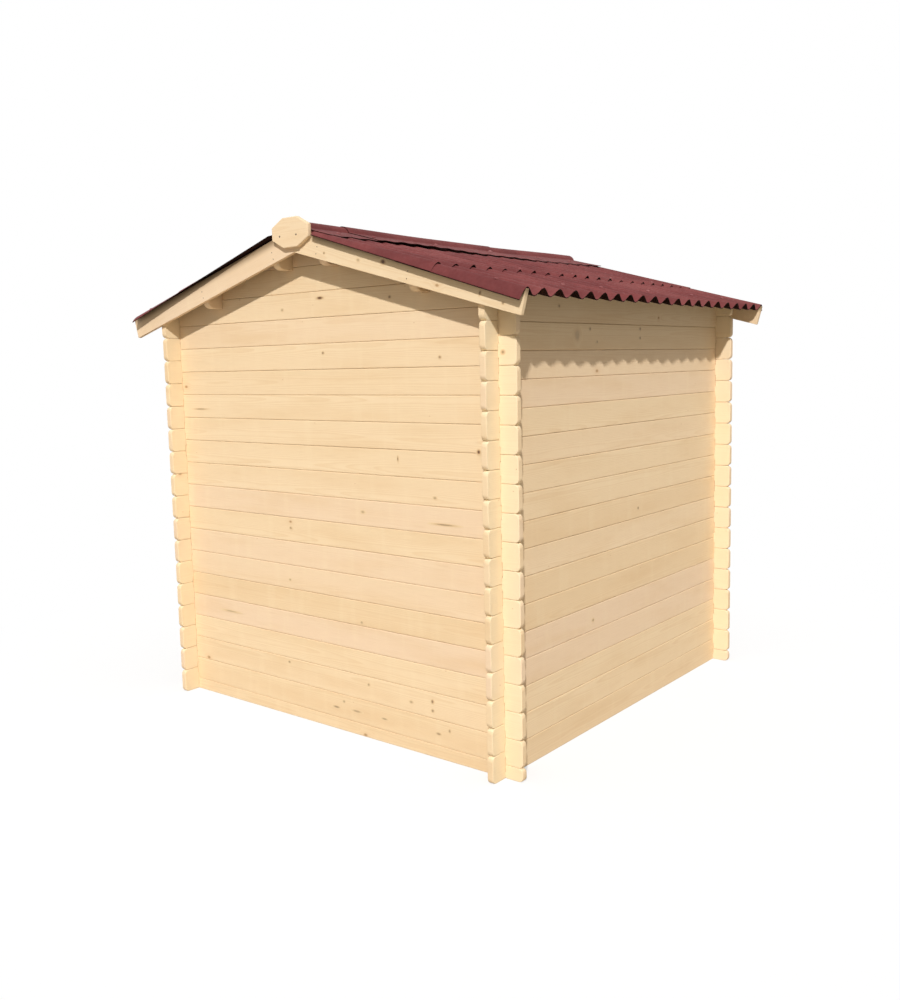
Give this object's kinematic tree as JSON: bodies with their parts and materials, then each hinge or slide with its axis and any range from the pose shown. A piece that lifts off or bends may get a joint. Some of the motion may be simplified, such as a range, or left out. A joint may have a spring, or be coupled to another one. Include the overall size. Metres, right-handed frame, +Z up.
{
  "type": "garden shed",
  "caption": "Small log garden shed with interlocking notched corners, low gable roof of corrugated sheets on purlins, barge boards, ridge caps and a ledged board door.",
  "frame": {"origin": "centre of the plan at the underside of the lowest logs", "axes": "+Z up, X across the gables, Y along the eaves walls, door gable facing -Y"},
  "size_m": [2.422, 2.3078, 2.3056],
  "materials": {
    "wall_logs": "planed untreated spruce with fine grain and small knots",
    "trim_wood": "planed untreated spruce boards",
    "roof_sheet": "matt dark red bitumen fibre sheet, slightly faded",
    "hardware": "zinc-plated steel"
  },
  "bodies": {
    "root": {"back_gable_disc": "trim_wood", "back_left_barge_board": "trim_wood", "back_ridge_cap": "roof_sheet", "back_right_barge_board": "trim_wood", "back_wall_even_logs": "wall_logs", "back_wall_odd_logs": "wall_logs", "door_handle": "hardware", "door_head": "trim_wood", "door_hinges": "hardware", "door_leaf": "trim_wood", "door_ledges": "trim_wood", "door_left_jamb": "trim_wood", "door_right_jamb": "trim_wood", "front_left_barge_board": "trim_wood", "front_ridge_cap": "roof_sheet", "front_right_barge_board": "trim_wood", "front_wall_even_logs": "wall_logs", "front_wall_odd_logs": "wall_logs", "left_lower_purlin": "trim_wood", "left_lower_roof_sheet": "roof_sheet", "left_upper_purlin": "trim_wood", "left_upper_roof_sheet": "roof_sheet", "left_wall_even_logs": "wall_logs", "left_wall_odd_logs": "wall_logs", "middle_ridge_cap": "roof_sheet", "right_lower_purlin": "trim_wood", "right_lower_roof_sheet": "roof_sheet", "right_upper_purlin": "trim_wood", "right_upper_roof_sheet": "roof_sheet", "right_wall_even_logs": "wall_logs", "right_wall_odd_logs": "wall_logs"}
  },
  "joints": []
}
